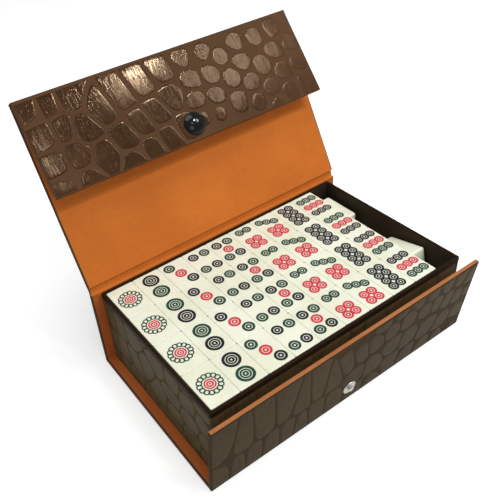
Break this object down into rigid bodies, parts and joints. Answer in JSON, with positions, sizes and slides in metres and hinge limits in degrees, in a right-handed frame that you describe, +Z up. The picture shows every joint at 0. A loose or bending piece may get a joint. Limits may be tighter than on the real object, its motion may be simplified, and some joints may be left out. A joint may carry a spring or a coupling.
{
  "type": "mahjong case",
  "caption": "Book-style folding mahjong case in brown embossed leatherette with an orange lining, open, with its ivory dot tiles in an inner tray and a press-stud flap folded down.",
  "frame": {"origin": "centre of the base board's underside, on the table under the tray", "axes": "+X along the case to the spare-tile gap, +Y back to the spine, +Z up; rest pose is the open pose of the picture"},
  "size_m": [0.217, 0.1997, 0.1824],
  "materials": {
    "leatherette": "embossed scales, glossy",
    "tray_leatherette": "embossed scales, satin",
    "lining_paper": "matte",
    "tray_paper": "matte",
    "greyboard": "matte",
    "tile": "polished",
    "cap_black": "gloss black enamel",
    "snap_metal": "nickel plated"
  },
  "bodies": {
    "case": {"base_board": "greyboard", "base_cover": "leatherette", "base_lining": "lining_paper", "spine_board": "greyboard", "spine_cover": "leatherette", "spine_lining": "lining_paper", "tray_floor": "greyboard", "tray_front_wall": "greyboard", "tray_back_wall": "greyboard", "tray_left_wall": "greyboard", "tray_right_wall": "greyboard", "tray_wrap": "tray_leatherette", "tray_lining": "tray_paper", "dots_1": "tile", "dots_2": "tile", "dots_3": "tile", "dots_4": "tile", "dots_5": "tile", "dots_6": "tile", "dots_7": "tile", "dots_8": "tile", "dots_9": "tile", "bamboo_tiles": "tile", "character_tiles": "tile", "wind_tiles": "tile", "dragon_tiles": "tile", "flower_tiles": "tile", "spare_tile_back": "tile", "spare_tile_front": "tile", "spare_tiles_below": "tile"},
    "lid": {"lid_board": "greyboard", "lid_cover": "leatherette", "lid_lining": "lining_paper"},
    "crest": {"flap_strip": "leatherette", "flap_strip_lining": "lining_paper"},
    "flap": {"flap_board": "greyboard", "flap_cover": "leatherette", "flap_lining": "lining_paper", "snap_cap": "cap_black", "snap_socket": "snap_metal", "snap_spring": "snap_metal"},
    "front_panel": {"front_board": "greyboard", "front_cover": "leatherette", "front_lining": "lining_paper", "snap_stud": "snap_metal", "snap_rivet": "snap_metal"}
  },
  "joints": [
    {"name": "lid_hinge", "type": "hinge", "parent": "case", "child": "lid", "pos_m": [0, 0.06495, 0.0661], "axis": [-1, 0, 0], "range_deg": [-118.8, 2]},
    {"name": "crest_fold", "type": "hinge", "parent": "lid", "child": "crest", "pos_m": [0, 0.12676, 0.17853], "axis": [1, 0, 0], "range_deg": [-84.4, 1.5]},
    {"name": "flap_hinge", "type": "hinge", "parent": "crest", "child": "flap", "pos_m": [0, 0.12173, 0.18198], "axis": [1, 0, 0], "range_deg": [-84, 5.6]},
    {"name": "front_fold", "type": "hinge", "parent": "case", "child": "front_panel", "pos_m": [0, -0.06515, 0.0004], "axis": [1, 0, 0], "range_deg": [-6.5, 0.2]}
  ],
  "couplings": [
    {"joint": "crest_fold", "follows": "lid_hinge", "ratio": 0.71044},
    {"joint": "front_fold", "follows": "lid_hinge", "ratio": 0.054714}
  ]
}
